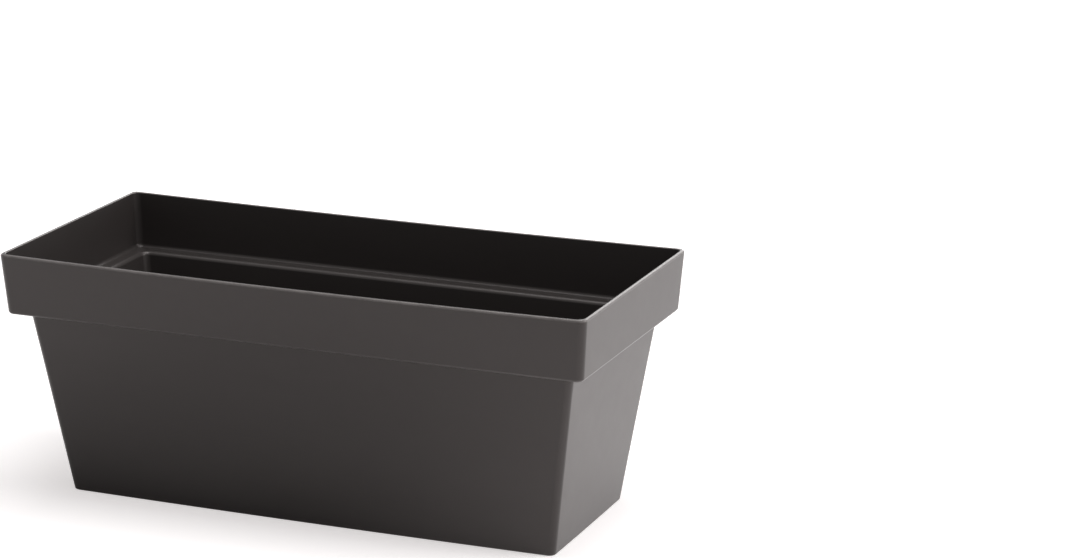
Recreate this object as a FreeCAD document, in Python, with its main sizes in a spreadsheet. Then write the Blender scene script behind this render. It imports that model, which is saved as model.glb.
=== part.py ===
"""Window box planter: an even-walled moulding with a stepped collar, and its drain plugs.

The planter stands on its base, length along X, height along Z, in millimetres.
The origin is the middle of the base, on the surface that the planter stands on.
"""

import FreeCAD
import Part
import Sketcher
import os

# ---------------------------------------------------------------- driving sizes

SIZES = [
    # Outline of the shell
    ("rim_length", 500.0, "length over the rim"),
    ("rim_width", 228.0, "width over the rim"),
    ("height", 204.0, "overall height"),
    ("collar_height", 50.0, "from the collar's underside to the rim"),
    ("collar_draft", 3.7, "how far the collar leans in, from rim to underside"),
    ("shoulder", 12.9, "width of the step under the collar"),
    ("base_inset", 39.5, "from the rim's outer edge in to the base's edge"),
    ("wall", 3.0, "thickness of the moulding"),
    # Rounded edges, outside
    ("corner_radius", 5.5, "upright corners"),
    ("base_edge_radius", 1.4, "edge that meets the standing surface"),
    ("collar_edge_radius", 2.2, "lower edge of the collar"),
    ("underside_radius", 2.0, "where the body meets the collar's underside"),
    ("rim_outer_radius", 1.4, "outer edge of the rim"),
    # Rounded edges, inside
    ("inner_corner_radius", 6.0, "upright corners"),
    ("floor_radius", 5.0, "where the walls meet the floor"),
    ("ledge_corner_radius", 3.0, "where the collar's wall meets the ledge"),
    ("ledge_edge_radius", 3.0, "where the ledge turns down"),
    ("rim_inner_radius", 0.8, "inner edge of the rim"),
    # Underside
    ("floor_lift", 5.0, "from the standing surface up to the floor"),
    ("foot_width", 4.0, "width of the rim that the planter stands on"),
    ("rib_thickness", 2.4, "ribs under the floor"),
    ("rib_clearance", 1.5, "from the ribs down to the standing surface"),
    ("long_rib_offset", 36.0, "from the middle out to each lengthwise rib"),
    # Drain holes, in one row along the middle
    ("drain_count", 4, "number of drain holes"),
    ("drain_margin", 66.5, "from the base's end in to the middle of the first hole"),
    ("drain_bore", 14.0, "diameter of a drain hole"),
    ("boss_wall", 2.6, "wall of the short spout under a drain hole"),
    ("boss_clearance", 1.0, "from a spout down to the standing surface"),
    # Drain plugs
    ("plug_side_gap", 0.06, "gap round the neck, in its hole"),
    ("plug_lead", 1.4, "how much the neck narrows at its lower end"),
    ("plug_lead_length", 2.5, "length of the narrowing end"),
    ("plug_neck_wall", 2.0, "wall of the hollow neck"),
    ("plug_lip", 3.5, "how far the head reaches past the hole"),
    ("plug_head_thickness", 2.4, "thickness of the head"),
    ("plug_edge_bevel", 0.8, "bevelled edge of the head"),
    ("tab_width", 13.0, "pull tab, across"),
    ("tab_height", 12.0, "pull tab, above the head"),
    ("tab_thickness", 2.6, "pull tab, through"),
]

size = {name: value for name, value, meaning in SIZES}

document = FreeCAD.newDocument("window_box_planter")
sheet = document.addObject("Spreadsheet::Sheet", "Sizes")
for row, (name, value, meaning) in enumerate(SIZES, start=1):
    sheet.set(f"A{row}", name)
    sheet.set(f"B{row}", str(value))
    sheet.set(f"C{row}", meaning)
    sheet.setAlias(f"B{row}", name)
document.recompute()

# Levels, as formulas on the sheet
STANDING = "0"
UNDERSIDE = "(Sizes.height - Sizes.collar_height)"
RIM = "Sizes.height"
FLOOR_TOP = "(Sizes.floor_lift + Sizes.wall)"
LEDGE = f"({UNDERSIDE} + Sizes.wall)"
ABOVE_RIM = "(Sizes.height + Sizes.wall)"

# How far the tapered body leans in, from the collar's underside to the base
TAPER = "(Sizes.base_inset - Sizes.collar_draft - Sizes.shoulder)"

# The drain holes stand evenly between the two end ones, with a cross rib between each two
END_DRAIN = "(Sizes.rim_length / 2 - Sizes.base_inset - Sizes.drain_margin)"
DRAIN_PITCH = f"(2 * {END_DRAIN} / (Sizes.drain_count - 1))"

# ---------------------------------------------------------------- helpers


def value_of(formula):
    """The present value of a formula on the sheet."""
    return float(sheet.evalExpression(formula))


def origin_plane(body, role):
    """One of a body's own origin planes, such as XY_Plane."""
    return next(item for item in body.Origin.OriginFeatures if item.Role == role)


def new_sketch(body, name, role, level=STANDING):
    """An empty sketch on an origin plane, lifted to a level."""
    sketch = body.newObject("Sketcher::SketchObject", name)
    sketch.AttachmentSupport = [(origin_plane(body, role), "")]
    sketch.MapMode = "FlatFace"
    if level != STANDING:
        sketch.setExpression("AttachmentOffset.Base.z", level)
    return sketch


def fix_point(sketch, edge, end, across, up):
    """Hold a point of a sketch at a place given by two formulas."""
    for kind, formula, axis in (("DistanceX", across, -2), ("DistanceY", up, -1)):
        if formula == "0":
            sketch.addConstraint(Sketcher.Constraint("PointOnObject", edge, end, axis))
            continue
        number = sketch.addConstraint(
            Sketcher.Constraint(kind, -1, 1, edge, end, value_of(formula)))
        sketch.setExpression(f"Constraints[{number}]", formula)


def outline(sketch, places):
    """A closed outline of straight lines through points given as formulas."""
    points = [FreeCAD.Vector(value_of(across), value_of(up), 0) for across, up in places]
    count = len(points)
    first = sketch.GeometryCount
    for index in range(count):
        sketch.addGeometry(Part.LineSegment(points[index], points[(index + 1) % count]))
    for index in range(count):
        following = first + (index + 1) % count
        sketch.addConstraint(
            Sketcher.Constraint("Coincident", first + index, 2, following, 1))
    for index, (across, up) in enumerate(places):
        fix_point(sketch, first + index, 1, across, up)


def circle(sketch, across, up, radius):
    """A circle with its centre and radius given as formulas."""
    centre = FreeCAD.Vector(value_of(across), value_of(up), 0)
    number = sketch.addGeometry(
        Part.Circle(centre, FreeCAD.Vector(0, 0, 1), value_of(radius)))
    fix_point(sketch, number, 3, across, up)
    constraint = sketch.addConstraint(
        Sketcher.Constraint("Radius", number, value_of(radius)))
    sketch.setExpression(f"Constraints[{constraint}]", radius)


def rectangle(body, name, level, inset):
    """A level rectangle, inset all round from the rim's outer edge."""
    sketch = new_sketch(body, name, "XY_Plane", level)
    half_length = f"(Sizes.rim_length / 2 - ({inset}))"
    half_width = f"(Sizes.rim_width / 2 - ({inset}))"
    outline(sketch, [
        (half_length, half_width),
        (f"-{half_length}", half_width),
        (f"-{half_length}", f"-{half_width}"),
        (half_length, f"-{half_width}"),
    ])
    return sketch


def round_edges(body, name, edges, radius):
    """Round the named edges of the body's present shape."""
    base = body.Tip
    feature = body.newObject("PartDesign::Fillet", name)
    feature.Base = (base, edges)
    feature.setExpression("Radius", radius)
    document.recompute()


def names_of(shape, edges):
    """The names that a shape gives to some of its edges."""
    return [f"Edge{number}" for number, edge in enumerate(shape.Edges, start=1)
            if any(edge.isSame(wanted) for wanted in edges)]


def flat_face_edges(shape, level, facing, outer):
    """The outer or the inner boundary of the level face at one height that faces up or down."""
    for face in shape.Faces:
        box = face.BoundBox
        flat = box.ZLength < 0.01 and abs(box.ZMin - level) < 0.01
        if not flat or len(face.Edges) < 4 or face.normalAt(0, 0).z * facing < 0.9:
            continue
        edges = [edge for wire in face.Wires for edge in wire.Edges
                 if wire.isSame(face.OuterWire) == outer]
        if edges:
            return names_of(shape, edges)
    raise ValueError(f"no level face at {level}")


def level_face(shape, level, facing):
    """The name of the level face at one height that faces up or down."""
    for number, face in enumerate(shape.Faces, start=1):
        box = face.BoundBox
        flat = box.ZLength < 0.01 and abs(box.ZMin - level) < 0.01
        if flat and face.normalAt(0, 0).z * facing > 0.9:
            return f"Face{number}"
    raise ValueError(f"no level face at {level}")


def upright_edges(shape):
    """Every edge of a shape that runs from one level to another."""
    return names_of(shape, [edge for edge in shape.Edges if edge.BoundBox.ZLength > 1])


def drafted_block(body, name, start, end, inset, lean):
    """A block from one level to another, whose sides lean outwards as they rise."""
    upwards = value_of(end) > value_of(start)
    sketch = rectangle(body, f"{name}_outline", start, inset)
    block = extrude(body, "Pad", f"{name}_block", sketch, f"abs({end} - {start})", upwards)
    sides = [f"Face{number}" for number, face in enumerate(block.Shape.Faces, start=1)
             if face.BoundBox.ZLength > 1 and abs(face.normalAt(0, 0).z) < 0.001]
    neutral = level_face(block.Shape, value_of(start), -1 if upwards else 1)
    draft = body.newObject("PartDesign::Draft", f"{name}_draft")
    draft.Base = (block, sides)
    draft.NeutralPlane = (block, [neutral])
    draft.setExpression("Angle", lean)
    draft.Reversed = True
    document.recompute()
    return draft


def collar_inset(level):
    """Inset of the collar's outer face at a level, from the rim's outer edge."""
    return f"Sizes.collar_draft * (Sizes.height - {level}) / Sizes.collar_height"


def body_inset(level):
    """Inset of the tapered body's outer face at a level, from the rim's outer edge."""
    return f"Sizes.base_inset - {TAPER} * {level} / {UNDERSIDE}"


def stepped_form(body, levels, thickness, radii):
    """A solid form with the planter's taper and step, set in from its outside by a thickness."""
    bottom, step, top = levels
    corner, lower_edge, step_inner, step_outer = radii
    name = body.Name
    drafted_block(body, f"{name}_lower", bottom, step,
                  f"{body_inset(bottom)} + {thickness}", f"atan({TAPER} / {UNDERSIDE})")
    drafted_block(body, f"{name}_upper", top, step,
                  f"{collar_inset(top)} + {thickness}",
                  "atan(Sizes.collar_draft / Sizes.collar_height)")
    round_edges(body, f"{name}_corners", upright_edges(body.Tip.Shape), corner)
    for part_name, level, outer, radius in (
            ("lower_edge", bottom, True, lower_edge),
            ("step_inner", step, False, step_inner),
            ("step_outer", step, True, step_outer)):
        edges = flat_face_edges(body.Tip.Shape, value_of(level), -1, outer)
        round_edges(body, f"{name}_{part_name}", edges, radius)


def extrude(body, kind, name, sketch, length, up=True):
    """Pad or pocket a sketch by a length, upwards or downwards."""
    feature = body.newObject(f"PartDesign::{kind}", name)
    feature.Profile = sketch
    feature.setExpression("Length", length)
    feature.Reversed = up if kind == "Pocket" else not up
    document.recompute()
    return feature


def row_along_x(body, name, feature, count):
    """Repeat a feature along X, as far apart as the drain holes."""
    pattern = body.newObject("PartDesign::LinearPattern", name)
    pattern.Originals = [feature]
    pattern.Direction = (origin_plane(body, "X_Axis"), [""])
    pattern.setExpression("Occurrences", count)
    pattern.setExpression("Length", f"({count} - 1) * {DRAIN_PITCH}")
    body.Tip = pattern
    document.recompute()
    return pattern


def checked_volume(body, before, grows):
    """The solid's volume now; stops if the last feature didn't change it as it should."""
    now = body.Tip.Shape.Volume
    if (now > before) != grows or abs(now - before) < 1:
        raise ValueError(f"{body.Tip.Name} left the solid as it was")
    return now


# ---------------------------------------------------------------- planter shell


def make_shell():
    """The moulding: an outer form, hollowed by a core that leaves an even wall."""
    core = document.addObject("PartDesign::Body", "core")
    stepped_form(core, (FLOOR_TOP, LEDGE, ABOVE_RIM), "Sizes.wall",
                 ("Sizes.inner_corner_radius", "Sizes.floor_radius",
                  "Sizes.ledge_edge_radius", "Sizes.ledge_corner_radius"))

    shell = document.addObject("PartDesign::Body", "planter_shell")
    shell.Label = "planter_shell"
    stepped_form(shell, (STANDING, UNDERSIDE, RIM), "0",
                 ("Sizes.corner_radius", "Sizes.base_edge_radius",
                  "Sizes.underside_radius", "Sizes.collar_edge_radius"))
    volume = shell.Tip.Shape.Volume

    # The floor is lifted inside a standing rim.
    recess = rectangle(shell, "recess", STANDING, "Sizes.base_inset + Sizes.foot_width")
    extrude(shell, "Pocket", "floor_recess", recess, "Sizes.floor_lift")
    volume = checked_volume(shell, volume, False)

    # Ribs stiffen the floor from below and run into the standing rim.
    rib_height = "Sizes.floor_lift - Sizes.rib_clearance + Sizes.wall / 2"
    rib_end = "(Sizes.base_inset + Sizes.foot_width / 2)"
    half_rib = "Sizes.rib_thickness / 2"
    first_rib = f"({DRAIN_PITCH} / 2 - {END_DRAIN})"
    reach = f"(Sizes.rim_width / 2 - {rib_end})"
    cross = new_sketch(shell, "cross_rib_outline", "XY_Plane", "Sizes.rib_clearance")
    outline(cross, [
        (f"{first_rib} - {half_rib}", f"-{reach}"),
        (f"{first_rib} + {half_rib}", f"-{reach}"),
        (f"{first_rib} + {half_rib}", reach),
        (f"{first_rib} - {half_rib}", reach),
    ])
    cross_rib = extrude(shell, "Pad", "cross_rib", cross, rib_height)
    row_along_x(shell, "cross_ribs", cross_rib, "(Sizes.drain_count - 1)")
    volume = checked_volume(shell, volume, True)

    reach = f"(Sizes.rim_length / 2 - {rib_end})"
    along = new_sketch(shell, "long_rib_outline", "XY_Plane", "Sizes.rib_clearance")
    for side in ("-", ""):
        middle = f"{side}Sizes.long_rib_offset"
        outline(along, [
            (f"-{reach}", f"{middle} - {half_rib}"),
            (reach, f"{middle} - {half_rib}"),
            (reach, f"{middle} + {half_rib}"),
            (f"-{reach}", f"{middle} + {half_rib}"),
        ])
    extrude(shell, "Pad", "long_ribs", along, rib_height)
    volume = checked_volume(shell, volume, True)

    # A short spout stands round each drain hole, under the floor.
    spout = new_sketch(shell, "spout_outline", "XY_Plane", "Sizes.boss_clearance")
    circle(spout, f"-{END_DRAIN}", "0", "Sizes.drain_bore / 2 + Sizes.boss_wall")
    drain_spout = extrude(shell, "Pad", "drain_spout", spout,
                          "Sizes.floor_lift - Sizes.boss_clearance + Sizes.wall / 2")
    row_along_x(shell, "drain_spouts", drain_spout, "Sizes.drain_count")
    volume = checked_volume(shell, volume, True)

    hollow = shell.newObject("PartDesign::Boolean", "hollow")
    hollow.Type = "Cut"
    hollow.addObject(core)
    document.recompute()
    volume = checked_volume(shell, volume, False)

    hole = new_sketch(shell, "drain_outline", "XY_Plane")
    circle(hole, f"-{END_DRAIN}", "0", "Sizes.drain_bore / 2")
    drain_hole = extrude(shell, "Pocket", "drain_hole", hole, f"{FLOOR_TOP} + Sizes.wall")
    row_along_x(shell, "drain_holes", drain_hole, "Sizes.drain_count")
    checked_volume(shell, volume, False)

    # The rim's two edges share the wall, so each is limited by its part of it.
    for name, outer, radius in (
            ("rim_outer", True, "min(Sizes.rim_outer_radius; 0.55 * Sizes.wall)"),
            ("rim_inner", False, "min(Sizes.rim_inner_radius; 0.35 * Sizes.wall)")):
        edges = flat_face_edges(shell.Tip.Shape, value_of(RIM), 1, outer)
        round_edges(shell, name, edges, radius)
    return shell


# ---------------------------------------------------------------- drain plugs


def make_plug(number):
    """A push-in plug: a hollow neck in the drain hole, a head on the floor and a pull tab."""
    plug = document.addObject("PartDesign::Body", f"drain_plug_{number}")
    plug.Label = f"drain_plug_{number}"

    neck = "(Sizes.drain_bore / 2 - Sizes.plug_side_gap)"
    head = "(Sizes.drain_bore / 2 + Sizes.plug_lip)"
    seat = "0"
    head_top = "Sizes.plug_head_thickness"
    tip = f"-({FLOOR_TOP} - Sizes.boss_clearance)"
    profile = new_sketch(plug, f"plug_{number}_profile", "XZ_Plane")
    outline(profile, [
        ("0", head_top),
        ("0", seat),
        (f"{neck} - Sizes.plug_lead - Sizes.plug_neck_wall", seat),
        (f"{neck} - Sizes.plug_lead - Sizes.plug_neck_wall", tip),
        (f"{neck} - Sizes.plug_lead", tip),
        (neck, f"{tip} + Sizes.plug_lead_length"),
        (neck, seat),
        (head, seat),
        (head, f"{head_top} - Sizes.plug_edge_bevel"),
        (f"{head} - Sizes.plug_edge_bevel", head_top),
    ])
    turned = plug.newObject("PartDesign::Revolution", f"plug_{number}_turned")
    turned.Profile = profile
    turned.ReferenceAxis = (profile, ["V_Axis"])
    turned.Angle = 360

    # The tab is a flat tongue with a round end, rooted in the head.
    half = "Sizes.tab_width / 2"
    root = "(Sizes.plug_head_thickness / 2)"
    bend = f"({head_top} + Sizes.tab_height - {half})"
    tongue = new_sketch(plug, f"plug_{number}_tongue", "XZ_Plane")
    x = value_of(half)
    low = value_of(root)
    high = value_of(bend)
    peak = FreeCAD.Vector(0, high + x, 0)
    corners = [FreeCAD.Vector(x, low, 0), FreeCAD.Vector(x, high, 0),
               FreeCAD.Vector(-x, high, 0), FreeCAD.Vector(-x, low, 0)]
    tongue.addGeometry(Part.LineSegment(corners[0], corners[1]))
    tongue.addGeometry(Part.Arc(corners[1], peak, corners[2]))
    tongue.addGeometry(Part.LineSegment(corners[2], corners[3]))
    tongue.addGeometry(Part.LineSegment(corners[3], corners[0]))
    for side in range(4):
        tongue.addConstraint(
            Sketcher.Constraint("Coincident", side, 2, (side + 1) % 4, 1))
    fix_point(tongue, 0, 1, half, root)
    fix_point(tongue, 0, 2, half, bend)
    tongue.addConstraint(Sketcher.Constraint("Symmetric", 1, 1, 1, 2, -2))
    tongue.addConstraint(Sketcher.Constraint("Horizontal", 1, 3, 1, 1))
    fix_point(tongue, 2, 2, f"-{half}", root)
    tab = plug.newObject("PartDesign::Pad", f"plug_{number}_tab")
    tab.Profile = tongue
    tab.Midplane = True
    tab.setExpression("Length", "Sizes.tab_thickness")

    plug.setExpression(
        "Placement.Base.x",
        f"({number} - 1) * {DRAIN_PITCH} - {END_DRAIN}")
    plug.setExpression("Placement.Base.z", FLOOR_TOP)
    return plug


# ---------------------------------------------------------------- build and write

parts = [make_shell()]
for plug_number in range(1, int(size["drain_count"]) + 1):
    parts.append(make_plug(plug_number))
document.recompute()

for item in document.Objects:
    if {"Invalid", "Error"} & set(item.State):
        raise ValueError(f"{item.Name} did not build: {item.State}")
for part in parts:
    if part.Shape.isNull() or not part.Shape.isValid():
        raise ValueError(f"{part.Label} has no valid shape")
    if len(part.Shape.Solids) != 1:
        raise ValueError(f"{part.Label} is not one solid")

os.makedirs("parts", exist_ok=True)
for part in parts:
    part.Shape.exportStep(f"parts/{part.Label}.step")
    box = part.Shape.BoundBox
    print(f"{part.Label}: {part.Shape.Volume:.1f} mm3,"
          f" x {box.XMin:.2f} to {box.XMax:.2f},"
          f" y {box.YMin:.2f} to {box.YMax:.2f},"
          f" z {box.ZMin:.2f} to {box.ZMax:.2f}")
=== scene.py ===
# %% [markdown]
# # Window box planter
#
# A window box planter is one injection moulding: a long trough with a tall collar, a step under the
# collar, and a body that tapers down to a standing rim. Four rubber plugs close its drain holes.
# The construction comes in as a fixed frame, and this lesson gives it its looks. The shell is modelled
# again as a mesh, because a real moulding has softly rounded edges and sides that are not quite flat,
# and both decide how light runs over satin plastic.

# %% Load the frame
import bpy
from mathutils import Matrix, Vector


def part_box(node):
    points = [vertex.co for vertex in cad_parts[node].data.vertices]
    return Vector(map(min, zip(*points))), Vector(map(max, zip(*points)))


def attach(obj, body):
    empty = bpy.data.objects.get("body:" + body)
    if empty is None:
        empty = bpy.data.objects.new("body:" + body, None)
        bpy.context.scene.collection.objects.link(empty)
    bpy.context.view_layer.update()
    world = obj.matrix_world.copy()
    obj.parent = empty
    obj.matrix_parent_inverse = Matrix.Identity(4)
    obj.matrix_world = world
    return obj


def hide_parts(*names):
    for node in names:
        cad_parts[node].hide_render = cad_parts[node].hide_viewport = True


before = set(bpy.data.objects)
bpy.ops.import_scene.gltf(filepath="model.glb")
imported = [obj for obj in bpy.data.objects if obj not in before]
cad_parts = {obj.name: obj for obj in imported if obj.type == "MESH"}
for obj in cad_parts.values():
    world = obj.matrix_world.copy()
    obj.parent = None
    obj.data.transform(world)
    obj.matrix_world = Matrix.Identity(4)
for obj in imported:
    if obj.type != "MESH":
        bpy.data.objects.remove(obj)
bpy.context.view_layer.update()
print("nodes:", sorted(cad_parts))

# %% Import Blender's modules
import math

import bmesh
import bpy
from mathutils import Matrix, Vector

MM = 0.001

# %% [markdown]
# ## Sizes
#
# Only a few sizes drive the shell. Its length, width and height are read from the frame, so that
# the mesh always fits the construction. The others are what the section of the wall needs: how high
# the collar is, how wide the step is, and how thick the plastic is. Insets are measured inwards from
# the outer edge of the rim, because every outline of the planter is the rim's outline moved in.

# %% Name the sizes
low_corner, high_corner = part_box("planter_shell")
HALF_LENGTH = high_corner.x
HALF_WIDTH = high_corner.y
RIM_LEVEL = high_corner.z
WALL = 3.0 * MM
COLLAR_HEIGHT = 50.0 * MM
COLLAR_LEAN = 3.7 * MM
STEP_WIDTH = 12.9 * MM
BASE_INSET = 39.5 * MM
FLOOR_LIFT = 5.0 * MM
FOOT_WIDTH = 4.0 * MM
CORNER_RADIUS = 5.7 * MM
UNDER_COLLAR = RIM_LEVEL - COLLAR_HEIGHT
LEDGE_LEVEL = UNDER_COLLAR + WALL
FLOOR_LEVEL = FLOOR_LIFT + WALL
BODY_TOP_INSET = COLLAR_LEAN + STEP_WIDTH
print(f"half length {HALF_LENGTH:.4f}, half width {HALF_WIDTH:.4f}, rim at {RIM_LEVEL:.4f}")

# %% [markdown]
# ## The camera
#
# A product picture like this is taken with a long lens from a little above and to the right, so the
# long sides stay almost parallel. The camera is placed by its position and three angles. Its axes
# are worked out one by one, which is easier to follow than a chain of rotations.

# %% Place the camera
CAMERA_PLACE = Vector((1.12060, -2.39143, 0.91059))
CAMERA_YAW = math.radians(21.7063)
CAMERA_PITCH = math.radians(15.4534)
CAMERA_ROLL = math.radians(0.2377)
CAMERA_LENS = 114.063
SENSOR_WIDTH = 36.0

ahead = Vector((-math.sin(CAMERA_YAW) * math.cos(CAMERA_PITCH),
                math.cos(CAMERA_YAW) * math.cos(CAMERA_PITCH),
                -math.sin(CAMERA_PITCH)))
level_right = Vector((math.cos(CAMERA_YAW), math.sin(CAMERA_YAW), 0))
level_up = level_right.cross(ahead)
camera_right = level_right * math.cos(CAMERA_ROLL) + level_up * math.sin(CAMERA_ROLL)
camera_up = level_up * math.cos(CAMERA_ROLL) - level_right * math.sin(CAMERA_ROLL)

camera_data = bpy.data.cameras.new("camera")
camera_data.lens = CAMERA_LENS
camera_data.sensor_width = SENSOR_WIDTH
camera = bpy.data.objects.new("camera", camera_data)
camera.matrix_world = Matrix.Translation(CAMERA_PLACE) @ Matrix(
    (camera_right, camera_up, -ahead)).transposed().to_4x4()
bpy.context.scene.collection.objects.link(camera)
bpy.context.scene.camera = camera
print("camera looks along", [round(value, 3) for value in ahead])

# %% [markdown]
# ## The lamps
#
# Dark satin plastic shows its surroundings more than its own colour, so its light is planned by what
# each face mirrors. Two soft lamps, one high on the right and one above, light the planter at a plain
# level, at which its grey renders about as it is written. A third stands behind. It is hidden from the
# camera and from dull light, and only draws the bright line along the rounded rim.

# %% Build the lamps
OBJECT_MIDDLE = (0.0, 0.0, 0.1)
WHITE_LIGHT = (1.0, 1.0, 1.0)
WARM_LIGHT = (1.0, 0.98, 0.975)
LAMPS = [  # name, place, size in metres, power in watts, colour
    ("key_lamp", (2.4, 0.45, 1.8), 1.5, 40.0, WARM_LIGHT),
    ("top_lamp", (0.2, 0.1, 2.8), 1.8, 50.0, WHITE_LIGHT),
    ("rim_lamp", (0.1, 2.9, 1.1), 2.0, 31.0, WHITE_LIGHT),
]


def soft_lamp(name, place, size, power, colour):
    """A square area lamp that faces the planter."""
    data = bpy.data.lights.new(name, "AREA")
    data.shape = "SQUARE"
    data.size = size
    data.energy = power
    data.color = colour
    lamp = bpy.data.objects.new(name, data)
    aim = (Vector(OBJECT_MIDDLE) - Vector(place)).to_track_quat("-Z", "Y")
    lamp.matrix_world = Matrix.Translation(place) @ aim.to_matrix().to_4x4()
    bpy.context.scene.collection.objects.link(lamp)
    return lamp


lamps = [soft_lamp(*values) for values in LAMPS]
rim_lamp = lamps[-1]
rim_lamp.visible_diffuse = False
rim_lamp.visible_camera = False
print("lamps:", [lamp.name for lamp in lamps])

# %% [markdown]
# ## The sky
#
# A white studio could be lit by a bright sky alone, but that would wash out a dark moulding. Here the
# camera sees a white sky, while the planter gets only a weak one. Mirrors of the sky are a third case:
# they are white behind the planter and dimmer in front of it, where a studio has its dark side, and
# that keeps the long front darker than the end. Which ray is asking is told by Light Path.

# %% Build the sky
SKY_LEVEL = 0.18
WHITE_LEVEL = 1.0
DIM_LEVEL = 0.40
DIM_TO, WHITE_FROM = -0.6, 0.4


def node(tree, kind, **settings):
    """A new node with its properties set."""
    made = tree.nodes.new(f"ShaderNode{kind}")
    for key, value in settings.items():
        setattr(made, key, value)
    return made


def feed(tree, socket, value):
    """Link another node's output to an input, or give the input a constant."""
    if isinstance(value, bpy.types.NodeSocket):
        tree.links.new(value, socket)
    else:
        socket.default_value = value


def combine(tree, operation, *values):
    """One math step on sockets or numbers."""
    made = node(tree, "Math", operation=operation)
    for socket, value in zip(made.inputs, values):
        feed(tree, socket, value)
    return made.outputs[0]


def spread(tree, value, low, high, bottom=0.0, top=1.0, shape="LINEAR"):
    """Stretch a range of values to another one."""
    made = node(tree, "MapRange", interpolation_type=shape)
    for name, number in (("Value", value), ("From Min", low), ("From Max", high),
                         ("To Min", bottom), ("To Max", top)):
        feed(tree, made.inputs[name], number)
    return made.outputs["Result"]


def blend(tree, share, first, second, kind="FLOAT"):
    """Go from one value or colour to another by a share."""
    made = node(tree, "Mix", data_type=kind)
    for name, value in (("Factor", share), ("A", first), ("B", second)):
        feed(tree, made.inputs[name], value)
    return made.outputs["Result"]


def seen_by(tree, *rays):
    """A value that is 1 for the named kinds of ray and 0 for all others."""
    path = node(tree, "LightPath")
    value = path.outputs[rays[0]]
    for ray in rays[1:]:
        value = combine(tree, "MAXIMUM", value, path.outputs[ray])
    return value


world = bpy.data.worlds.new("studio")
world.use_nodes = True
bpy.context.scene.world = world
tree = world.node_tree
sky = tree.nodes["Background"]
sky.inputs["Color"].default_value = (1.0, 1.0, 1.0, 1.0)
direction = node(tree, "SeparateXYZ")
feed(tree, direction.inputs["Vector"], node(tree, "TexCoord").outputs["Generated"])
mirrored = spread(tree, direction.outputs["Y"], DIM_TO, WHITE_FROM, DIM_LEVEL, WHITE_LEVEL,
                  "SMOOTHSTEP")
lighting = blend(tree, seen_by(tree, "Is Glossy Ray"), SKY_LEVEL, mirrored)
clear = seen_by(tree, "Is Camera Ray", "Is Transmission Ray")
feed(tree, sky.inputs["Strength"], blend(tree, clear, lighting, WHITE_LEVEL))
bpy.context.scene.view_settings.view_transform = "Standard"
print("sky level", SKY_LEVEL)

# %% [markdown]
# ## The floor
#
# The planter stands on a pale, matt sheet. A real one is swept up behind the object until it turns
# white. A flat sheet that glows more with distance gives the same, and needs no edge to hide. The glow
# is only for what looks at the floor. The camera sees it everywhere but under the planter, where the
# drain holes look down on it. Mirrors see it fade towards the shaded side, at the front left.

# %% Lay the floor
FLOOR_SIZE = 9.0
FLOOR_DROP = 0.05 * MM

floor_mesh = bmesh.new()
bmesh.ops.create_grid(floor_mesh, x_segments=1, y_segments=1, size=FLOOR_SIZE)
bmesh.ops.translate(floor_mesh, vec=(0, 0, -FLOOR_DROP), verts=floor_mesh.verts)
floor_data = bpy.data.meshes.new("floor")
floor_mesh.to_mesh(floor_data)
floor_mesh.free()
floor = bpy.data.objects.new("floor", floor_data)
bpy.context.scene.collection.objects.link(floor)
print("floor", 2 * FLOOR_SIZE, "m square")

# %% Paint the floor
FLOOR_COLOUR = (0.74, 0.735, 0.73, 1.0)
FLOOR_SEEN = (0.80, 0.785, 0.785, 1.0)
GLOW_TINT = (1.0, 0.965, 0.96, 1.0)
SEEN_GLOW = 0.56
SWEEP_FROM, SWEEP_TO = 0.5, 1.6
SHADE_GLOW, FULL_GLOW = 0.15, 1.0
SHADE_FROM, SHADE_TO = 0.10, 0.42
SHADE_MIDDLE = (-0.12, -0.16, 0.0)
UNDER_BASE, BASE_EDGE = 0.85, 0.98
BASE_HALVES = (HALF_LENGTH - BASE_INSET, HALF_WIDTH - BASE_INSET, 1.0)


def vector_step(tree, operation, *values):
    """One vector math step on sockets or triples."""
    made = node(tree, "VectorMath", operation=operation)
    for socket, value in zip(made.inputs, values):
        feed(tree, socket, value)
    return made


floor_paint = bpy.data.materials.new("floor_paint")
floor_paint.use_nodes = True
tree = floor_paint.node_tree
tree.nodes.clear()
spot = node(tree, "TexCoord").outputs["Object"]
matt = node(tree, "BsdfDiffuse")
looked_at = seen_by(tree, "Is Camera Ray", "Is Glossy Ray", "Is Transmission Ray")
feed(tree, matt.inputs["Color"], blend(tree, looked_at, FLOOR_COLOUR, FLOOR_SEEN, "RGBA"))

reach = vector_step(tree, "LENGTH", spot).outputs["Value"]
swept = spread(tree, reach, SWEEP_FROM, SWEEP_TO, SEEN_GLOW, WHITE_LEVEL, "SMOOTHSTEP")
shares = node(tree, "SeparateXYZ")
feed(tree, shares.inputs["Vector"], vector_step(tree, "DIVIDE", spot, BASE_HALVES).outputs["Vector"])
outmost = combine(tree, "MAXIMUM", *[combine(tree, "ABSOLUTE", shares.outputs[axis])
                                     for axis in ("X", "Y")])
clear_of_base = spread(tree, outmost, UNDER_BASE, BASE_EDGE)
open_floor = combine(tree, "MULTIPLY", swept, clear_of_base)
from_shade = vector_step(tree, "DISTANCE", spot, SHADE_MIDDLE).outputs["Value"]
mirrored = spread(tree, from_shade, SHADE_FROM, SHADE_TO, SHADE_GLOW, FULL_GLOW, "SMOOTHSTEP")

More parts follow.
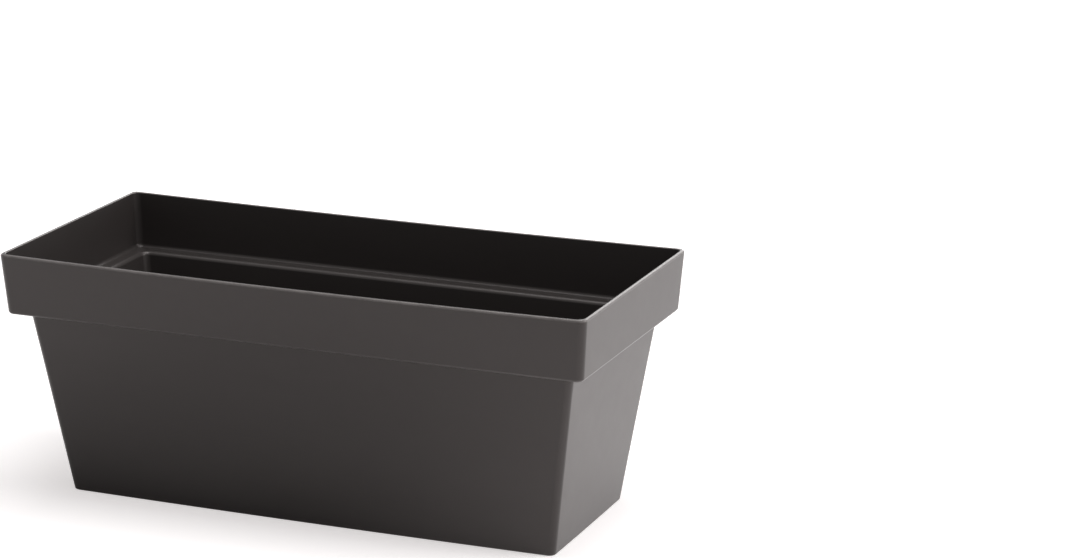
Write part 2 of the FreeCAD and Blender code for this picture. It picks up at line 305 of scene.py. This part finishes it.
clear = seen_by(tree, "Is Camera Ray", "Is Transmission Ray")
direct = blend(tree, clear, 0.0, open_floor)
glow = node(tree, "Emission")
glow.inputs["Color"].default_value = GLOW_TINT
feed(tree, glow.inputs["Strength"],
     blend(tree, seen_by(tree, "Is Glossy Ray"), direct, mirrored))
both = node(tree, "AddShader")
feed(tree, both.inputs[0], matt.outputs["BSDF"])
feed(tree, both.inputs[1], glow.outputs["Emission"])
feed(tree, node(tree, "OutputMaterial").inputs["Surface"], both.outputs["Shader"])
floor_data.materials.append(floor_paint)
print("floor glow:", SEEN_GLOW, "round the planter,", WHITE_LEVEL, "far away")

# %% [markdown]
# ## The shell's wall as a row of rings
#
# On the real planter the wall is one even sheet that steps in under the collar. It could be cut out
# of a block, but then the inside and the outside would be two jobs. Here one rounded rectangle is
# drawn at the floor, and its edge is extruded again and again: up the inside, over the rim, and down
# the outside to the standing rim. Each ring is the same rounded rectangle moved in or out, so the
# corners keep their radius all the way.

# %% Draw the first ring
CORNER_SEGMENTS = 6
TAPER = BASE_INSET - BODY_TOP_INSET


def body_inset(level):
    """How far the body's outside lies in from the rim's outer edge at a level."""
    return BASE_INSET - TAPER * level / UNDER_COLLAR


def collar_inset(level):
    """How far the collar's outside lies in from the rim's outer edge at a level."""
    return COLLAR_LEAN * (RIM_LEVEL - level) / COLLAR_HEIGHT


def round_off(mesh, geom, offset, segments, affect="EDGES", clamp=False):
    """Bevel edges or corner points round, and give back what was made."""
    return bmesh.ops.bevel(
        mesh, geom=geom, offset=offset, offset_type="OFFSET", affect=affect,
        segments=segments, profile=0.5, material=-1, clamp_overlap=clamp)


RINGS = [  # name, inset, level
    ("floor", body_inset(FLOOR_LEVEL) + WALL, FLOOR_LEVEL),
    ("ledge_edge", body_inset(LEDGE_LEVEL) + WALL, LEDGE_LEVEL),
    ("ledge_corner", collar_inset(LEDGE_LEVEL) + WALL, LEDGE_LEVEL),
    ("rim_inner", WALL, RIM_LEVEL),
    ("rim_outer", 0.0, RIM_LEVEL),
    ("collar_edge", COLLAR_LEAN, UNDER_COLLAR),
    ("underside", BODY_TOP_INSET, UNDER_COLLAR),
    ("foot_outer", BASE_INSET, 0.0),
    ("foot_inner", BASE_INSET + FOOT_WIDTH, 0.0),
    ("recess", BASE_INSET + FOOT_WIDTH, FLOOR_LIFT),
]

shell = bmesh.new()
# A share per point for the painted highlight: rounded edges get a lighter colour in place of their
# reflection.
highlight_layer = shell.verts.layers.float.new("edge_highlight_share")
bmesh.ops.create_grid(shell, x_segments=1, y_segments=1, size=1.0)
drawn_half = max(vert.co.x for vert in shell.verts)
first_name, first_inset, first_level = RINGS[0]
bmesh.ops.scale(shell, verts=shell.verts, vec=(
    (HALF_LENGTH - first_inset) / drawn_half, (HALF_WIDTH - first_inset) / drawn_half, 1.0))
bmesh.ops.translate(shell, verts=shell.verts, vec=(0, 0, first_level))
round_off(shell, shell.verts[:], CORNER_RADIUS, CORNER_SEGMENTS, affect="VERTICES")
print("points in a ring:", len(shell.verts))


# %% Extrude ring after ring
def points_of(made):
    """The points among what an operator made."""
    return [item for item in made["geom"] if isinstance(item, bmesh.types.BMVert)]


def edges_among(mesh, verts):
    """The edges that have both ends in a set of points."""
    members = set(verts)
    return [edge for edge in mesh.edges if set(edge.verts) <= members]


def next_ring(mesh, ring, rise, outwards):
    """Extrude a ring of edges, lift it, and move its four corners outwards by the same amount."""
    verts = points_of(bmesh.ops.extrude_edge_only(mesh, edges=ring))
    bmesh.ops.translate(mesh, verts=verts, vec=(0, 0, rise))
    for side in (1, -1):
        end = [vert for vert in verts if vert.co.x * side > 0]
        bmesh.ops.translate(mesh, verts=end, vec=(side * outwards, 0, 0))
        long_side = [vert for vert in verts if vert.co.y * side > 0]
        bmesh.ops.translate(mesh, verts=long_side, vec=(0, side * outwards, 0))
    return edges_among(mesh, verts)


ring = [edge for edge in shell.edges if edge.is_boundary]
rings = {first_name: ring}
for (_, inset_before, level_before), (name, inset, level) in zip(RINGS, RINGS[1:]):
    ring = next_ring(shell, ring, level - level_before, inset_before - inset)
    rings[name] = ring
bmesh.ops.contextual_create(shell, geom=ring)
bmesh.ops.recalc_face_normals(shell, faces=shell.faces)
print("rings:", len(rings), "faces:", len(shell.faces),
      "open edges:", sum(edge.is_boundary for edge in shell.edges))

# %% [markdown]
# ## Rounded edges
#
# No edge of a moulding is sharp, and each one has its own radius: small at the rim, larger where the
# wall meets the floor. A Bevel modifier would give them all the same one. The rings are kept by name,
# so each can be bevelled by its own amount. The points inside the rounding of the outer edges are
# marked in an attribute. The finish uses it later to paint a highlight on them, a lighter colour in
# place of the reflection along the rounding, and to make them a little smoother.

# %% Round the rings
EDGE_RADII = {
    "floor": 5.0 * MM,
    "ledge_edge": 3.0 * MM,
    "ledge_corner": 3.0 * MM,
    "rim_inner": 0.8 * MM,
    "rim_outer": 2.0 * MM,
    "collar_edge": 2.2 * MM,
    "underside": 2.0 * MM,
    "foot_outer": 1.4 * MM,
    "foot_inner": 0.7 * MM,
}
EDGE_SEGMENTS = 5
# How strongly each ring's rounding gets the painted highlight, a lighter colour in place of its
# reflection.
EDGE_HIGHLIGHT = {"rim_inner": 1.0, "rim_outer": 1.0, "collar_edge": 0.35, "foot_outer": 0.3,
          "ledge_edge": 0.08}

for name, radius in EDGE_RADII.items():
    rounded = round_off(shell, rings[name], radius, EDGE_SEGMENTS)
    strip = set(rounded["faces"])
    for vert in rounded["verts"]:
        within = all(face in strip for face in vert.link_faces)
        vert[highlight_layer] = EDGE_HIGHLIGHT.get(name, 0.0) if within else 0.0
print("faces after rounding:", len(shell.faces))

# %% [markdown]
# ## Drain holes
#
# Four holes stand in a row along the middle of the floor, each in a short spout that keeps the water
# off the surface below. A hole could be cut with a boolean, but bridging loops gives cleaner faces.
# The floor is sliced into a square round each hole, and the square is taken out on both sides. A ring
# of edges is extruded from the hole's top down through the spout and up round it, and its two ends
# are bridged to the two squares.

# %% Slice the floor round each hole
DRAIN_RADIUS = 7.0 * MM
SPOUT_RADIUS = 9.6 * MM
SPOUT_CLEARANCE = 1.0 * MM
CELL_HALF = 13.0 * MM
SLICE_SPACING = 26.5 * MM
SAME_POINT = 0.001 * MM


def middle_along(name):
    """Where the middle of a node lies along the planter."""
    low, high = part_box(name)
    return low.x + (high.x - low.x) / 2


def slice_across(mesh, place, direction):
    """Cut a row of new edges right through the mesh, square to a direction."""
    bmesh.ops.bisect_plane(
        mesh, geom=mesh.verts[:] + mesh.edges[:] + mesh.faces[:], dist=SAME_POINT,
        plane_co=Vector(direction) * place, plane_no=direction)


def spread_evenly(low, high):
    """Places between two ends, so that no step is longer than the spacing of the slices."""
    count = math.ceil((high - low) / SLICE_SPACING)
    return [low + (high - low) * index / count for index in range(1, count)]


drain_places = sorted(middle_along(name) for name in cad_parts
                      if name.startswith("drain_plug"))
along_slices = [place + side * CELL_HALF for place in drain_places for side in (-1, 1)]
marks = [-HALF_LENGTH] + along_slices + [HALF_LENGTH]
for start, end in zip(marks, marks[1:]):
    along_slices += spread_evenly(start, end)
across_slices = [-CELL_HALF, CELL_HALF]
across_slices += spread_evenly(CELL_HALF, HALF_WIDTH) + spread_evenly(-HALF_WIDTH, -CELL_HALF)
for place in along_slices:
    slice_across(shell, place, (1, 0, 0))
for place in across_slices:
    slice_across(shell, place, (0, 1, 0))
print("slices:", len(along_slices), "along,", len(across_slices), "across")

# %% Open the holes and make the spouts
CIRCLE_SEGMENTS = 40
SPOUT_ROUNDING = 0.6 * MM
SPOUT_SEGMENTS = 2
NEARLY = 0.1 * MM


def cell_edges(mesh, place, level):
    """Take out the square of floor round a hole, and give back its edge in a circle's steps."""
    inside = []
    for face in mesh.faces:
        middle = face.calc_center_median()
        if (abs(middle.z - level) < NEARLY and abs(middle.x - place) < CELL_HALF
                and abs(middle.y) < CELL_HALF):
            inside.append(face)
    border = [edge for face in inside for edge in face.edges
              if sum(other in inside for other in edge.link_faces) == 1]
    bmesh.ops.delete(mesh, geom=inside, context="FACES")
    bmesh.ops.subdivide_edges(mesh, edges=border, cuts=CIRCLE_SEGMENTS // len(border) - 1)
    return [edge for edge in mesh.edges if edge.is_boundary
            and all(abs(vert.co.z - level) < NEARLY
                    and max(abs(vert.co.x - place), abs(vert.co.y)) > CELL_HALF - NEARLY
                    for vert in edge.verts)]


def circle_edges(mesh, place, level, radius):
    """A new ring of edges round a hole."""
    made = bmesh.ops.create_circle(
        mesh, cap_ends=False, segments=CIRCLE_SEGMENTS, radius=radius,
        matrix=Matrix.Translation((place, 0, level)))
    return edges_among(mesh, made["verts"])


def step_ring(mesh, ring, rise, factor, place):
    """Extrude a round ring of edges, and change its level or its radius."""
    verts = points_of(bmesh.ops.extrude_edge_only(mesh, edges=ring))
    bmesh.ops.translate(mesh, verts=verts, vec=(0, 0, rise))
    bmesh.ops.scale(mesh, verts=verts, vec=(factor, factor, 1),
                    space=Matrix.Translation((-place, 0, 0)))
    return edges_among(mesh, verts)


hole_rings = []
for place in drain_places:
    top_square = cell_edges(shell, place, FLOOR_LEVEL)
    low_square = cell_edges(shell, place, FLOOR_LIFT)
    top_ring = circle_edges(shell, place, FLOOR_LEVEL, DRAIN_RADIUS)
    lip_inner = step_ring(shell, top_ring, SPOUT_CLEARANCE - FLOOR_LEVEL, 1.0, place)
    lip_outer = step_ring(shell, lip_inner, 0.0, SPOUT_RADIUS / DRAIN_RADIUS, place)
    spout_ring = step_ring(shell, lip_outer, FLOOR_LIFT - SPOUT_CLEARANCE, 1.0, place)
    bmesh.ops.bridge_loops(shell, edges=top_square + top_ring)
    bmesh.ops.bridge_loops(shell, edges=low_square + spout_ring)
    hole_rings += lip_outer + lip_inner + top_ring
bmesh.ops.recalc_face_normals(shell, faces=shell.faces)
round_off(shell, hole_rings, SPOUT_ROUNDING, SPOUT_SEGMENTS)
print("open edges after the holes:", sum(edge.is_boundary for edge in shell.edges))

# %% [markdown]
# ## Ribs under the floor
#
# Low ribs under the floor keep it from sagging under wet soil. They are plain bars that run into the
# standing rim, so each is a cube stretched to its size, with its lower edges bevelled. Their ends
# and tops lie inside the plastic of the shell, where nobody sees them.

# %% Add the ribs
RIB_THICKNESS = 2.4 * MM
RIB_CLEARANCE = 1.5 * MM
LONG_RIB_PLACE = 36.0 * MM
RIB_ROUNDING = 0.5 * MM
RIB_TOP = FLOOR_LIFT + WALL / 2
RIB_REACH = BASE_INSET + FOOT_WIDTH / 2
BAR_SEGMENTS = 2


def add_bar(mesh, middle, lengths, rounding, softened_below):
    """A bar with its edges softened below a level."""
    made = bmesh.ops.create_cube(mesh, size=1.0)["verts"]
    bmesh.ops.scale(mesh, verts=made, vec=lengths)
    bmesh.ops.translate(mesh, verts=made, vec=middle)
    soft = [edge for edge in edges_among(mesh, made)
            if all(vert.co.z < softened_below for vert in edge.verts)]
    round_off(mesh, soft, rounding, BAR_SEGMENTS)


rib_height = RIB_TOP - RIB_CLEARANCE
rib_middle = (RIB_TOP + RIB_CLEARANCE) / 2
cross_places = [(one + other) / 2 for one, other in zip(drain_places, drain_places[1:])]
cross_lengths = (RIB_THICKNESS, 2 * (HALF_WIDTH - RIB_REACH), rib_height)
long_lengths = (2 * (HALF_LENGTH - RIB_REACH), RIB_THICKNESS, rib_height)
for place in cross_places:
    add_bar(shell, (place, 0, rib_middle), cross_lengths, RIB_ROUNDING, rib_middle)
for place in (-LONG_RIB_PLACE, LONG_RIB_PLACE):
    add_bar(shell, (0, place, rib_middle), long_lengths, RIB_ROUNDING, rib_middle)
print("ribs:", len(cross_places) + 2)

# %% [markdown]
# ## The form as it comes out of the mould
#
# A long moulded wall is never dead straight. Seen from above the long sides are slightly convex,
# which the maker wants, because a wall that curves in looks weak, and the rim dips a little at
# the middle of its length. Both are a few millimetres at most, but a straight rim looks drawn
# with a ruler. A lattice could bend the mesh, but a smooth rule for every point says exactly how far
# each one goes, inside and outside alike, so the wall stays even.

# %% Give the sides their sweep
LONG_BULGE = 3.0 * MM
END_BULGE = 0.7 * MM
RIM_BULGE = 0.6 * MM
RIM_DIP = 1.6 * MM
LONG_SWEEP_FROM = 30.0 * MM
END_SWEEP_FROM = HALF_LENGTH / 2


def ease(value, low, high):
    """0 below one level, 1 above the other, and a soft change between."""
    share = min(max((value - low) / (high - low), 0.0), 1.0)
    return share * share * (3 - 2 * share)


for vert in shell.verts:
    along = vert.co.x / HALF_LENGTH
    across = vert.co.y / HALF_WIDTH
    height = min(vert.co.z / UNDER_COLLAR, 1.0)
    bulge = LONG_BULGE + (RIM_BULGE - LONG_BULGE) * height
    corner_shift = RIM_BULGE * height
    reach = ease(abs(vert.co.y), LONG_SWEEP_FROM, HALF_WIDTH - BASE_INSET)
    outwards = bulge * (1 - along ** 2) - corner_shift
    vert.co.y += outwards * reach * math.copysign(1, vert.co.y)
    end_reach = ease(abs(vert.co.x), END_SWEEP_FROM, HALF_LENGTH - BASE_INSET)
    end_outwards = END_BULGE * (1 - across ** 2) * (1 - height)
    vert.co.x += end_outwards * end_reach * math.copysign(1, vert.co.x)
    vert.co.z -= RIM_DIP * (1 - along ** 2) * ease(vert.co.z, LEDGE_LEVEL, RIM_LEVEL)
bmesh.ops.recalc_face_normals(shell, faces=shell.faces)
print("volume of plastic:", round(shell.calc_volume() * 1e6), "cm3")


# %% Turn the shell into an object
def new_piece(name, mesh):
    """Make an object from a finished mesh, smooth-shaded, at the origin."""
    data = bpy.data.meshes.new(name)
    mesh.to_mesh(data)
    mesh.free()
    for polygon in data.polygons:
        polygon.use_smooth = True
    piece = bpy.data.objects.new(name, data)
    bpy.context.scene.collection.objects.link(piece)
    weighted = piece.modifiers.new("even_shading", "WEIGHTED_NORMAL")
    weighted.mode = "FACE_AREA_WITH_ANGLE"
    weighted.keep_sharp = True
    print(name, "has", len(data.polygons), "faces")
    return piece


moulding = new_piece("planter_moulding", shell)
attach(moulding, "shell")
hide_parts("planter_shell")

# %% [markdown]
# ## Drain plugs
#
# A plug is a soft rubber turning: a hollow neck that fills the hole, a flat head that rests on the
# floor, and a tongue to pull it by. It could be built up from cylinders, but their joints would need
# cleaning. Half its section is drawn once and spun round its axis, which is how one thinks of any
# turned part. The tongue is a small plate with a round end and three grip bars.

# %% Spin the plug
HEAD_RADIUS = 10.5 * MM
HEAD_THICKNESS = 2.4 * MM
HEAD_DISH = 0.5 * MM
HEAD_RIM = 1.6 * MM
NECK_RADIUS = 6.94 * MM
NECK_LEAD = 1.4 * MM
LEAD_LENGTH = 2.5 * MM
NECK_WALL = 2.0 * MM
NECK_LENGTH = FLOOR_LEVEL - SPOUT_CLEARANCE
HOLLOW_RADIUS = NECK_RADIUS - NECK_LEAD - NECK_WALL
DISH_LEVEL = HEAD_THICKNESS - HEAD_DISH
SPIN_STEPS = 48

PLUG_SECTION = [  # radius, level above the floor
    (0.0, DISH_LEVEL),
    (HEAD_RADIUS - HEAD_RIM - HEAD_DISH, DISH_LEVEL),
    (HEAD_RADIUS - HEAD_RIM, HEAD_THICKNESS),
    (HEAD_RADIUS - HEAD_DISH, HEAD_THICKNESS),
    (HEAD_RADIUS, DISH_LEVEL),
    (HEAD_RADIUS, 0.0),
    (NECK_RADIUS, 0.0),
    (NECK_RADIUS, LEAD_LENGTH - NECK_LENGTH),
    (NECK_RADIUS - NECK_LEAD, -NECK_LENGTH),
    (HOLLOW_RADIUS, -NECK_LENGTH),
    (HOLLOW_RADIUS, -HEAD_DISH),
    (0.0, -HEAD_DISH),
]


def spun(section, steps):
    """Spin half a section once round the upright axis, and close it."""
    mesh = bmesh.new()
    verts = [mesh.verts.new((radius, 0, level)) for radius, level in section]
    edges = [mesh.edges.new(pair) for pair in zip(verts, verts[1:])]
    bmesh.ops.spin(mesh, geom=verts + edges, cent=(0, 0, 0), axis=(0, 0, 1),
                   angle=math.tau, steps=steps, use_merge=True)
    bmesh.ops.remove_doubles(mesh, verts=mesh.verts[:], dist=SAME_POINT)
    bmesh.ops.recalc_face_normals(mesh, faces=mesh.faces)
    return mesh


def sharp_edges(mesh, least):
    """Edges where two faces meet at more than an angle."""
    return [edge for edge in mesh.edges if edge.is_manifold and edge.calc_face_angle() > least]


print("points in the plug's half section:", len(PLUG_SECTION))

# %% Build the tongue
TAB_WIDTH = 13.0 * MM
TAB_HEIGHT = 12.0 * MM
TAB_THICKNESS = 2.6 * MM
TAB_ROOT = 0.8 * MM
TAB_ROUNDING = 0.6 * MM
TAB_EDGE_SEGMENTS = 3
TAB_CORNER_RADIUS = TAB_WIDTH / 2 * 0.98
TAB_CORNER_SEGMENTS = 10
SQUARE_CORNER = math.radians(60)
GRIP_COUNT = 3
GRIP_PITCH = 2.4 * MM
GRIP_SIZE = 0.7 * MM
GRIP_PROUD = 0.25 * MM
GRIP_ROUNDING = GRIP_PROUD * 0.8
GRIP_LEVEL = HEAD_THICKNESS + TAB_HEIGHT * 0.42
GRIP_LENGTHS = (TAB_WIDTH * 0.55, TAB_THICKNESS + 2 * GRIP_PROUD, GRIP_SIZE)


def tongue():
    """An upright plate with a round top, rooted in the head, with grip bars on both faces."""
    mesh = bmesh.new()
    bmesh.ops.create_grid(mesh, x_segments=1, y_segments=1, size=1.0,
                          matrix=Matrix.Rotation(math.pi / 2, 4, "X"))
    drawn = max(vert.co.x for vert in mesh.verts)
    height = TAB_HEIGHT + TAB_ROOT
    bmesh.ops.scale(mesh, verts=mesh.verts, vec=(
        TAB_WIDTH / 2 / drawn, 1, height / 2 / drawn))
    bmesh.ops.translate(mesh, verts=mesh.verts, vec=(
        0, -TAB_THICKNESS / 2, HEAD_THICKNESS - TAB_ROOT + height / 2))
    upper = [vert for vert in mesh.verts if vert.co.z > HEAD_THICKNESS + TAB_HEIGHT / 2]
    round_off(mesh, upper, TAB_CORNER_RADIUS, TAB_CORNER_SEGMENTS, affect="VERTICES")
    verts = points_of(bmesh.ops.extrude_face_region(mesh, geom=mesh.faces[:]))
    bmesh.ops.translate(mesh, vec=(0, TAB_THICKNESS, 0), verts=verts)
    bmesh.ops.recalc_face_normals(mesh, faces=mesh.faces)
    rim = [edge for edge in sharp_edges(mesh, SQUARE_CORNER)
           if min(vert.co.z for vert in edge.verts) > HEAD_THICKNESS
           or abs(edge.verts[0].co.z - edge.verts[1].co.z) > TAB_ROOT]
    round_off(mesh, rim, TAB_ROUNDING, TAB_EDGE_SEGMENTS, clamp=True)
    for row in range(GRIP_COUNT):
        add_bar(mesh, (0, 0, GRIP_LEVEL + row * GRIP_PITCH), GRIP_LENGTHS, GRIP_ROUNDING,
                math.inf)
    return mesh


print(f"tongue {TAB_WIDTH / MM:.1f} mm wide and {TAB_HEIGHT / MM:.1f} mm high")

# %% Seat the four plugs
PLUG_CORNER = math.radians(35)
PLUG_ROUNDING = 0.35 * MM
PLUG_SEGMENTS = 2


def make_plug(name, place):
    """One plug, seated in its hole."""
    mesh = spun(PLUG_SECTION, SPIN_STEPS)
    round_off(mesh, sharp_edges(mesh, PLUG_CORNER), PLUG_ROUNDING, PLUG_SEGMENTS, clamp=True)
    part = tongue()
    data = bpy.data.meshes.new("tongue")
    part.to_mesh(data)
    part.free()
    mesh.from_mesh(data)
    bpy.data.meshes.remove(data)
    bmesh.ops.translate(mesh, verts=mesh.verts, vec=(place, 0, FLOOR_LEVEL))
    return new_piece(name, mesh)


plugs = []
for number, place in enumerate(drain_places, start=1):
    plug = make_plug(f"rubber_plug_{number}", place)
    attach(plug, f"plug_{number}")
    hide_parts(f"drain_plug_{number}")
    plugs.append(plug)
print("plugs at", [round(place, 3) for place in drain_places])

# %% [markdown]
# ## Effects that both finishes share
#
# Moulded plastic and moulded rubber have things in common: a fine grain from the mould, a colour
# that drifts a little where the melt flowed, and a painted highlight on rounded edges, which are also
# made a little smoother. Each effect is a node group with named inputs and outputs. It is built once
# and set differently in each material.
#
# ### Mould grain
#
# The mould is spark-eroded, which leaves a fine, even grain with a slightly coarser waviness under
# it. Two noises at different scales give both. The height feeds a bump, and the same waviness makes
# the surface a little duller or glossier from place to place.

# %% Build the mould grain
WAVE_SHARE = 0.5
NOISE_LOW, NOISE_HIGH = 0.3, 0.7


def new_group(name, inputs, outputs):
    """An empty node group with the given sockets, and its two ends."""
    group = bpy.data.node_groups.new(name, "ShaderNodeTree")
    for direction, sockets in (("INPUT", inputs), ("OUTPUT", outputs)):
        for socket_name, kind, value in sockets:
            socket = group.interface.new_socket(
                name=socket_name, in_out=direction, socket_type=f"NodeSocket{kind}")
            if value is not None:
                socket.default_value = value
    return group, group.nodes.new("NodeGroupInput"), group.nodes.new("NodeGroupOutput")


def noise(tree, vector, **settings):
    """A noise texture on a vector, and its values."""
    made = node(tree, "TexNoise")
    feed(tree, made.inputs["Vector"], vector)
    for name, value in settings.items():
        feed(tree, made.inputs[name.capitalize()], value)
    return made.outputs["Fac"]


grain, grain_in, grain_out = new_group(
    "mould_grain",
    [("Grain Scale", "Float", 1600.0), ("Wave Scale", "Float", 70.0)],
    [("Height", "Float", None), ("Dullness", "Float", None)])
where = node(grain, "TexCoord").outputs["Object"]
fine = noise(grain, where, scale=grain_in.outputs["Grain Scale"], detail=2.0, roughness=0.55)
wave = noise(grain, where, scale=grain_in.outputs["Wave Scale"], detail=3.0, roughness=0.5)
feed(grain, grain_out.inputs["Height"],
     combine(grain, "ADD", fine, combine(grain, "MULTIPLY", wave, WAVE_SHARE)))
feed(grain, grain_out.inputs["Dullness"], spread(grain, wave, NOISE_LOW, NOISE_HIGH))
print("group", grain.name)

# %% [markdown]
# ### Melt flow
#
# Coloured plastic shows faint clouds drawn out along the way that the melt ran. A plain noise would
# show round clouds, so it is stretched along the planter's length by a Mapping node before it is read.

# %% Build the melt flow
flow, flow_in, flow_out = new_group(
    "melt_flow",
    [("Stretch", "Vector", (4.0, 9.0, 14.0))],
    [("Drift", "Float", None)])
mapping = node(flow, "Mapping")
feed(flow, mapping.inputs["Vector"], node(flow, "TexCoord").outputs["Object"])
feed(flow, mapping.inputs["Scale"], flow_in.outputs["Stretch"])
clouds = noise(flow, mapping.outputs["Vector"], scale=1.0, detail=4.0, roughness=0.55,
               distortion=0.6)
feed(flow, flow_out.inputs["Drift"], spread(flow, clouds, NOISE_LOW, NOISE_HIGH))
print("group", flow.name)

# %% [markdown]
# ### Painted edge highlight
#
# Rounded edges get a painted highlight, a lighter colour that stands in for the reflection along
# them, together with a lower roughness, and both vary unevenly. Where the edges are could be guessed
# from the curvature, but the attribute that the bevels left says it exactly, and a noise breaks the
# line up.

# %% Build the painted edge highlight
PATCH_LOW, PATCH_HIGH = 0.25, 0.75
LEAST_HIGHLIGHT = 0.6

highlight_group, highlight_in, highlight_out = new_group(
    "painted_edge_highlight",
    [("Patchiness", "Float", 60.0)],
    [("Mask", "Float", None)])
edge_line = node(highlight_group, "Attribute", attribute_name="edge_highlight_share")
patches = noise(highlight_group, node(highlight_group, "TexCoord").outputs["Object"],
                scale=highlight_in.outputs["Patchiness"], detail=3.0, roughness=0.6)
# The mask lightens the colour as a painted highlight, and the finish also lowers the roughness with
# it.
feed(highlight_group, highlight_out.inputs["Mask"],
     combine(highlight_group, "MULTIPLY", edge_line.outputs["Fac"],
             spread(highlight_group, patches, PATCH_LOW, PATCH_HIGH, LEAST_HIGHLIGHT, 1.0)))
print("group", highlight_group.name)

# %% [markdown]
# ## The two finishes
#
# The shell is satin plastic in a warm dark grey. Satin means a middle roughness, so that a lamp
# turns into a soft glow and a pale floor shows as a veil at shallow angles. The plugs are black
# rubber, much duller. A picture of plastic could be laid on, but it would need a map and would blur
# close up. Both finishes use the same recipe with their own values instead: colour between a darker
# and a lighter tone by the melt flow, a painted highlight that lightens the rounded edges, and a bump
# from the mould grain.


# %% Build a finish
WARM_SHEEN = (1.0, 0.94, 0.93, 1.0)


def finish(name, dark, light, edge, roughness, edge_roughness, bump, grain_scale, specular):
    """A moulded finish with drifting colour, a painted highlight on rounded edges and a fine grain."""
    material = bpy.data.materials.new(name)
    material.use_nodes = True
    tree = material.node_tree
    surface = tree.nodes["Principled BSDF"]
    surface.inputs["Specular IOR Level"].default_value = specular
    surface.inputs["Specular Tint"].default_value = WARM_SHEEN

    grain_node = node(tree, "Group", node_tree=grain)
    grain_node.inputs["Grain Scale"].default_value = grain_scale
    drift = node(tree, "Group", node_tree=flow).outputs["Drift"]
    mask = node(tree, "Group", node_tree=highlight_group).outputs["Mask"]

    tone = blend(tree, drift, (*dark, 1.0), (*light, 1.0), "RGBA")
    # Painted highlight: rounded edges go towards the lighter edge colour, in place of their
    # reflection.
    highlighted = blend(tree, mask, tone, (*edge, 1.0), "RGBA")
    feed(tree, surface.inputs["Base Color"], highlighted)

    dull = spread(tree, grain_node.outputs["Dullness"], 0.0, 1.0, *roughness)
    smoother = combine(tree, "MULTIPLY", mask, edge_roughness)
    feed(tree, surface.inputs["Roughness"], combine(tree, "SUBTRACT", dull, smoother))

    relief = node(tree, "Bump")
    relief.inputs["Strength"].default_value = 1.0
    relief.inputs["Distance"].default_value = bump
    feed(tree, relief.inputs["Height"], grain_node.outputs["Height"])
    feed(tree, surface.inputs["Normal"], relief.outputs["Normal"])
    print("finish", name)
    return material


# The edge colours below are painted highlights for the rounded edges.
shell_plastic = finish(
    "satin_plastic", dark=(0.0305, 0.0263, 0.0252), light=(0.0350, 0.0305, 0.0292),
    edge=(0.210, 0.193, 0.188), roughness=(0.372, 0.386), edge_roughness=0.18,
    bump=0.012 * MM, grain_scale=1600.0, specular=0.42)
plug_rubber = finish(
    "matt_rubber", dark=(0.018, 0.0172, 0.0165), light=(0.026, 0.025, 0.024),
    edge=(0.040, 0.039, 0.038), roughness=(0.66, 0.78), edge_roughness=0.10,
    bump=0.02 * MM, grain_scale=2400.0, specular=0.35)

# %% Put the finishes on
moulding.data.materials.append(shell_plastic)
for plug in plugs:
    plug.data.materials.append(plug_rubber)
